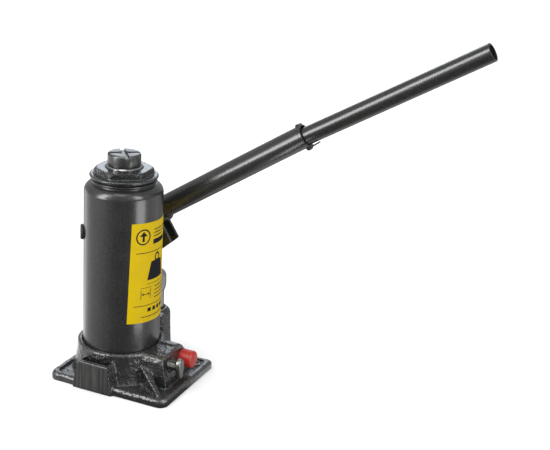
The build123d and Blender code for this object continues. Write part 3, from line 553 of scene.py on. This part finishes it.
# ----------------------------------------------------------------------------
# top nut: rough forging with a flange
# ----------------------------------------------------------------------------
def make_nut():
    me = cad_copy("top_nut", "nut_src")
    me = evaluated(me, [("REMESH", dict(mode="VOXEL", voxel_size=0.00036, adaptivity=0.0)),
                        ("SMOOTH", dict(factor=0.5, iterations=4))])
    lo, hi = (np.array(v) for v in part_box("top_nut"))

    def keep(co):
        x, y, z = (co / MM).T
        r = np.hypot(x, y)
        k = np.ones(len(co))
        k[r < 15.6] = 0.0
        k[z < 161.0] = 0.0
        k[(r > 23.6) & (z < 164.4)] = 0.22
        k[z > 168.5] *= 0.2
        return k

    co = rough_cast(me, 1.0, [(5.0, 0.20), (2.0, 0.24), (1.0, 0.16)], keep)
    co = np.clip(co, lo + 1e-5, hi - 1e-5)
    set_coords(me, co)
    return link("top_nut_forging", me, M["nut_paint"], "frame", 60.0, replaces=("top_nut",))


M["nut_paint"] = cast_paint("nut_paint", (0.0055, 0.006, 0.0065), (0.034, 0.035, 0.036), rough=(0.18, 0.34), bump=1.1, coarse=0.9)


# ----------------------------------------------------------------------------
# extension screw: saddle head and a real thread below
# ----------------------------------------------------------------------------
def make_screw():
    head = cut_keep(cad_copy("extension_screw", "screw_head"), (0, 0, 169.5), (0, 0, 1))
    head = bevelled(head, 0.34, 2)
    rod = grid_mesh("screw_rod", thread_points((0, 0, 0), "z", 68.6, 169.9, 9.44, 8.25, 4.0, cols=64, per_pitch=14, run0=1.2, run1=1.5), cap=True)
    tail = cut_keep(cad_copy("extension_screw", "screw_tail"), (0, 0, 68.5), (0, 0, -1))
    me = join_meshes("extension_screw_threaded", [head, rod, tail])
    return link("extension_screw_threaded", me, M["dark_steel"], "screw", 32.0, replaces=("extension_screw",))


# ----------------------------------------------------------------------------
# release valve: thread and upright tang
# ----------------------------------------------------------------------------
def make_release_valve():
    head = cut_keep(cad_copy("release_valve", "valve_head"), (54.7, 0, 0), (1, 0, 0))
    head = bevelled(head, 0.35, 3)
    nose = cut_keep(cad_copy("release_valve", "valve_nose"), (39.4, 0, 0), (-1, 0, 0))
    rod = grid_mesh("valve_rod", thread_points((0, -8.0, 20.0), "x", 39.2, 55.0, 3.86, 3.20, 1.25, cols=40, per_pitch=10, run0=0.6, run1=0.7), cap=True)
    me = join_meshes("release_valve_threaded", [head, nose, rod])
    return link("release_valve_threaded", me, M["zinc_steel"], "valve_screw", 32.0, replaces=("release_valve",))


# ----------------------------------------------------------------------------
# rating label: a film on the tube with generic print
# ----------------------------------------------------------------------------
LAB_TILT = math.radians(1.9)
LAB_W, LAB_H = 66.0, 80.5


def on_tube(a, b, r):
    s = a * math.cos(LAB_TILT) + b * math.sin(LAB_TILT) - 1.3
    z = 52.9 - a * math.sin(LAB_TILT) + b * math.cos(LAB_TILT)
    t = math.radians(-50.0) + s / 30.2
    return Vector((r * math.cos(t), r * math.sin(t), z)) * MM


def label_patch(bm, poly, r, mat):
    """A filled outline in label millimetres, cut into narrow strips and wrapped on the tube."""
    tmp = bmesh.new()
    vs = [tmp.verts.new((p[0], p[1], 0)) for p in poly]
    tmp.faces.new(vs)
    xs = [p[0] for p in poly]
    x = math.floor(min(xs))
    while x < max(xs):
        x += 1.0
        bmesh.ops.bisect_plane(tmp, geom=list(tmp.verts) + list(tmp.edges) + list(tmp.faces), plane_co=(x, 0, 0), plane_no=(1, 0, 0))
    new = {v: bm.verts.new(on_tube(v.co.x, v.co.y, r)) for v in tmp.verts}
    for f in tmp.faces:
        nf = bm.faces.new([new[v] for v in f.verts])
        nf.material_index = mat
    tmp.free()


def rect(a0, b0, a1, b1, lean=0.0):
    return [(a0, b0), (a1, b0), (a1 + lean, b1), (a0 + lean, b1)]


def ring(cx, cy, ro, ri, n=40, squash=1.0):
    """A ring as quads."""
    out = []
    for i in range(n):
        a0, a1 = 2 * math.pi * i / n, 2 * math.pi * (i + 1) / n
        out.append([(cx + ri * math.cos(a0), cy + ri * squash * math.sin(a0)), (cx + ro * math.cos(a0), cy + ro * squash * math.sin(a0)),
                    (cx + ro * math.cos(a1), cy + ro * squash * math.sin(a1)), (cx + ri * math.cos(a1), cy + ri * squash * math.sin(a1))])
    return out


def make_label():
    # film
    cols, rows = 67, 41
    film = []
    for i in range(rows):
        b = LAB_H * i / (rows - 1)
        film.append([on_tube(LAB_W * j / (cols - 1), b, 30.15) for j in range(cols)])
    me = grid_mesh("label_film", film, close_u=False)
    me = evaluated(me, [("SOLIDIFY", dict(thickness=0.00012, offset=-1.0))])
    bm = bmesh.new()
    bm.from_mesh(me)
    out_faces = [f for f in bm.faces]
    c = Vector((0, 0, 0))
    # make the outer side face outwards
    tot = sum(1 if f.normal.dot(Vector((f.calc_center_median().x, f.calc_center_median().y, 0))) > 0 else -1
              for f in out_faces if (Vector((f.calc_center_median().x, f.calc_center_median().y)).length > 0.03012))
    if tot < 0:
        bmesh.ops.reverse_faces(bm, faces=bm.faces)
    bm.to_mesh(me)
    bm.free()
    film_ob = link("rating_label_film", me, M["label_yellow"], "frame", 40.0, replaces=("rating_label",))

    bm = bmesh.new()
    r = 30.185
    K, G, Y = 0, 1, 2
    rnd = random.Random(3)

    def words(a0, a1, b, h, mat=K, gap=0.55, lo=0.9, hi=2.4):
        a = a0
        while a < a1:
            w = min(rnd.uniform(lo, hi), a1 - a)
            if w > 0.35:
                label_patch(bm, rect(a, b, a + w, b + h), r, mat)
            a += w + gap

    # emblem: a plain ring with an arrow pointing up
    for q in ring(10.0, 69.6, 6.3, 5.2, 48):
        label_patch(bm, q, r, K)
    label_patch(bm, [(9.0, 65.8), (11.0, 65.8), (11.0, 70.2), (9.0, 70.2)], r, K)
    label_patch(bm, [(6.6, 70.2), (13.4, 70.2), (10.0, 73.9)], r, K)
    # small lines and a boxed line beside it
    for k, b in enumerate((73.6, 71.0, 68.4)):
        words(20.4, 38.0 - 2.0 * k, b, 1.0, G if k else K)
    for q in (rect(19.6, 62.6, 37.0, 63.0), rect(19.6, 66.0, 37.0, 66.4), rect(19.6, 63.0, 20.0, 66.0), rect(36.6, 63.0, 37.0, 66.0)):
        label_patch(bm, q, r, K)
    label_patch(bm, rect(20.0, 63.0, 36.6, 66.0), r - 0.01, K)
    words(21.4, 35.6, 64.0, 1.0, Y, gap=0.5, lo=0.8, hi=1.8)
    # rules
    label_patch(bm, rect(4.6, 56.6, 61.5, 57.15), r, K)
    label_patch(bm, rect(15.0, 31.0, 61.5, 31.35), r, G)
    label_patch(bm, rect(4.6, 13.6, 61.5, 14.1), r, K)
    # load pictogram: a plain weight
    cx = 25.4
    label_patch(bm, [(cx - 10.2, 34.2), (cx + 10.2, 34.2), (cx + 7.0, 48.6), (cx + 4.6, 49.2), (cx - 4.6, 49.2), (cx - 7.0, 48.6)], r, K)
    for q in ring(cx, 51.6, 3.2, 1.9, 36, 1.15):
        label_patch(bm, q, r - 0.004, K)
    for q in (rect(cx - 3.6, 38.6, cx - 1.9, 44.6), rect(cx - 0.6, 38.6, cx + 1.1, 44.6), rect(cx + 2.4, 38.6, cx + 4.1, 44.6)):
        label_patch(bm, q, r + 0.012, Y)
    # height pictogram: a dimension arrow under a bar
    label_patch(bm, rect(9.4, 28.2, 20.2, 28.55), r, G)
    label_patch(bm, rect(10.0, 19.4, 10.5, 27.0), r, K)
    label_patch(bm, rect(18.8, 19.4, 19.3, 27.0), r, K)
    label_patch(bm, rect(11.6, 22.95, 17.7, 23.4), r, K)
    label_patch(bm, [(10.7, 23.18), (12.7, 22.1), (12.7, 24.26)], r + 0.004, K)
    label_patch(bm, [(18.6, 23.18), (16.6, 24.26), (16.6, 22.1)], r + 0.004, K)
    # small square symbols and a line of print
    for k in range(5):
        a = 17.0 + 5.4 * k
        label_patch(bm, rect(a, 8.3, a + 3.5, 11.3), r, K)
        label_patch(bm, rect(a + 0.7, 9.2, a + 2.8, 10.1), r + 0.008, Y)
    words(11.4, 55.0, 4.0, 0.85, G, gap=0.4, lo=0.5, hi=1.3)
    # second column, round the side of the tube: plain table
    for i in range(6):
        b = 74.0 - 2.6 * i
        words(42.0, 60.5, b, 0.9, G)
    for q in (rect(42.0, 36.0, 60.5, 36.35), rect(42.0, 53.0, 60.5, 53.35), rect(42.0, 36.35, 42.35, 53.0), rect(60.15, 36.35, 60.5, 53.0)):
        label_patch(bm, q, r, K)
    for i in range(5):
        words(43.6, 59.0, 50.4 - 3.1 * i, 0.9, G)
    for i in range(4):
        words(24.0, 60.0, 27.2 - 3.0 * i, 0.9, G)
    bmesh.ops.recalc_face_normals(bm, faces=bm.faces)
    for f in bm.faces:
        c = f.calc_center_median()
        if f.normal.dot(Vector((c.x, c.y, 0))) < 0:
            f.normal_flip()
    me = bpy.data.meshes.new("rating_label_print")
    bm.to_mesh(me)
    bm.free()
    link("rating_label_print", me, [M["label_ink"], M["label_grey"], M["label_paper"]], "frame", 40.0)


# ----------------------------------------------------------------------------
# other CAD nodes: materials, with edges rounded by modifiers where an edge shows
# ----------------------------------------------------------------------------
def dress(node, mat, bevel=None, segments=2, deg=28.0, smooth=32.0):
    """Gives a CAD node its material, and rounds its edges by modifiers."""
    ob = nodes[node]
    ob.data.materials.clear()
    ob.data.materials.append(mat)
    for p in ob.data.polygons:
        p.use_smooth = True
    for a in ("custom_normal",):
        if a in ob.data.attributes:
            ob.data.attributes.remove(ob.data.attributes[a])
    w = ob.modifiers.new("weld", "WELD")
    w.merge_threshold = 1e-6
    if bevel:
        b = ob.modifiers.new("bevel", "BEVEL")
        b.width = bevel * MM
        b.segments = segments
        b.limit_method = "ANGLE"
        b.angle_limit = math.radians(deg)
        b.use_clamp_overlap = True
    n = ob.modifiers.new("normals", "WEIGHTED_NORMAL")
    n.keep_sharp = True
    n.weight = 60


slot_of = {s["node"]: s["material_slot"] for s in frame["record"]["subparts"]}
make_base()
make_nut()
make_screw()
make_release_valve()
make_label()

BEVEL = {"reservoir_tube": 0.12, "filler_plug": 0.2, "ram": 0.6, "safety_cap": 0.25, "safety_screw": 0.12, "pump_gland": 0.15,
         "pump_plunger": 0.45, "handle_socket": 0.45, "fulcrum_pin": 0.2, "plunger_pin": 0.2, "pin_clips": 0.12,
         "handle_lower": 0.22, "handle_upper": 0.18, "passage_plugs": 0.1}
PAINT = {"handle_lower": "handle_paint", "handle_upper": "handle_paint", "handle_socket": "handle_paint"}
hidden = {"base", "top_nut", "extension_screw", "release_valve", "rating_label"}
for n in nodes:
    if n in hidden:
        nodes[n].data.materials.clear()
        nodes[n].data.materials.append(M[PAINT.get(n, slot_of[n])])
        continue
    dress(n, M[PAINT.get(n, slot_of[n])], BEVEL.get(n))


# ----------------------------------------------------------------------------
# stage: pale floor, soft studio light
# ----------------------------------------------------------------------------
def make_stage():
    bpy.ops.mesh.primitive_plane_add(size=120.0, location=(0, 0, -0.0002))
    floor = bpy.context.object
    floor.name = "floor"
    m = Mat("floor_paper", Roughness=0.9, Specular_IOR_Level=0.1)
    m.b.inputs["Base Color"].default_value = (0.93, 0.93, 0.93, 1)
    floor.data.materials.append(m.done())

    w = bpy.data.worlds.new("studio")
    scene.world = w
    w.use_nodes = True
    nt = w.node_tree
    nt.nodes.clear()
    out = nt.nodes.new("ShaderNodeOutputWorld")
    bg = nt.nodes.new("ShaderNodeBackground")
    bg.inputs["Color"].default_value = (0.97, 0.985, 1.0, 1)
    bg.inputs["Strength"].default_value = 0.50
    nt.links.new(bg.outputs[0], out.inputs[0])
    floor.visible_glossy = False

    # soft fill from above, for the floor and the object's own colours
    l = bpy.data.lights.new("fill", "SUN")
    l.energy = 3.3
    l.angle = math.radians(110)
    fill = bpy.data.objects.new("fill", l)
    scene.collection.objects.link(fill)
    fill.rotation_mode = "QUATERNION"
    fill.rotation_quaternion = Vector((0.25, 0.35, -1.0)).to_track_quat("-Z", "Y")
    fill.visible_glossy = False

    def glow(name, level, color=(1.0, 1.0, 1.0)):
        g = bpy.data.materials.new(name)
        g.use_nodes = True
        t = g.node_tree
        t.nodes.clear()
        o = t.nodes.new("ShaderNodeOutputMaterial")
        e = t.nodes.new("ShaderNodeEmission")
        e.inputs["Color"].default_value = (*color, 1)
        e.inputs["Strength"].default_value = level
        t.links.new(e.outputs[0], o.inputs[0])
        return g

    def card(name, pts, mats, index=None):
        """A studio card that shows only in reflections."""
        me = bpy.data.meshes.new(name)
        faces = [tuple(range(len(pts)))] if index is None else index
        me.from_pydata(pts, [], faces)
        for x in mats:
            me.materials.append(x)
        ob = bpy.data.objects.new(name, me)
        scene.collection.objects.link(ob)
        ob.visible_camera = False
        ob.visible_diffuse = False
        ob.visible_shadow = False
        ob.visible_transmission = False
        ob.visible_volume_scatter = False
        return ob

    # reflecting floor: lit from the back and the sides, dark in front of the jack
    stops = [(-180, 1.05), (-165, 0.85), (-130, 0.70), (-110, 0.50), (-95, 0.30), (-82, 0.12), (-38, 0.10), (-26, 0.12), (-2, 0.12), (8, 0.5),
             (20, 0.75), (50, 0.80), (62, 0.45), (75, 0.25), (145, 0.28), (158, 1.5), (172, 1.5), (180, 1.05)]
    n, pts, idx, mats, which = 120, [(0.0, 0.0, -0.0001)], [], [], []
    for k in range(n):
        a = math.radians(-180 + 360 * k / n)
        pts.append((6.0 * math.cos(a), 6.0 * math.sin(a), -0.0001))
    for k in range(n):
        mid = -180 + 360 * (k + 0.5) / n
        for (a0, v0), (a1, v1) in zip(stops, stops[1:]):
            if a0 <= mid <= a1:
                v = v0 + (v1 - v0) * (mid - a0) / (a1 - a0)
        mats.append(glow("floor_glow_%03d" % k, v))
        idx.append((0, 1 + k, 1 + (k + 1) % n))
    disc = card("floor_reflection", pts, mats, idx)
    disc.data.polygons.foreach_set("material_index", list(range(n)))

    def upright(name, az, dist, width, z0, z1, level, color=(1, 1, 1)):
        """A vertical softbox at an azimuth, facing the axis."""
        a = math.radians(az)
        c, t = Vector((dist * math.cos(a), dist * math.sin(a), 0)), Vector((-math.sin(a), math.cos(a), 0)) * width / 2
        pts = [c - t + Vector((0, 0, z0)), c + t + Vector((0, 0, z0)), c + t + Vector((0, 0, z1)), c - t + Vector((0, 0, z1))]
        return card(name, [tuple(q) for q in pts], [glow(name + "_glow", level, color)])

    upright("strip_left", -123.5, 1.0, 0.40, 0.10, 1.5, 10.5)
    upright("strip_right", -14.5, 0.128, 0.056, 0.0, 0.135, 5.0)
    upright("strip_right_high", -16.0, 1.0, 0.34, 0.42, 1.4, 7.5)
    card("overhead", [(-0.25, -0.75, 1.5), (0.35, -0.75, 1.5), (0.35, -0.15, 1.5), (-0.25, -0.15, 1.5)], [glow("overhead_glow", 3.2)])
    upright("wall_back", 119.0, 1.6, 0.55, 0.36, 1.5, 2.3, (0.86, 0.92, 1.0))

    scene.view_settings.view_transform = "Standard"
    scene.view_settings.look = "None"
    scene.view_settings.exposure = 0.0
    scene.view_settings.gamma = 1.0


make_stage()
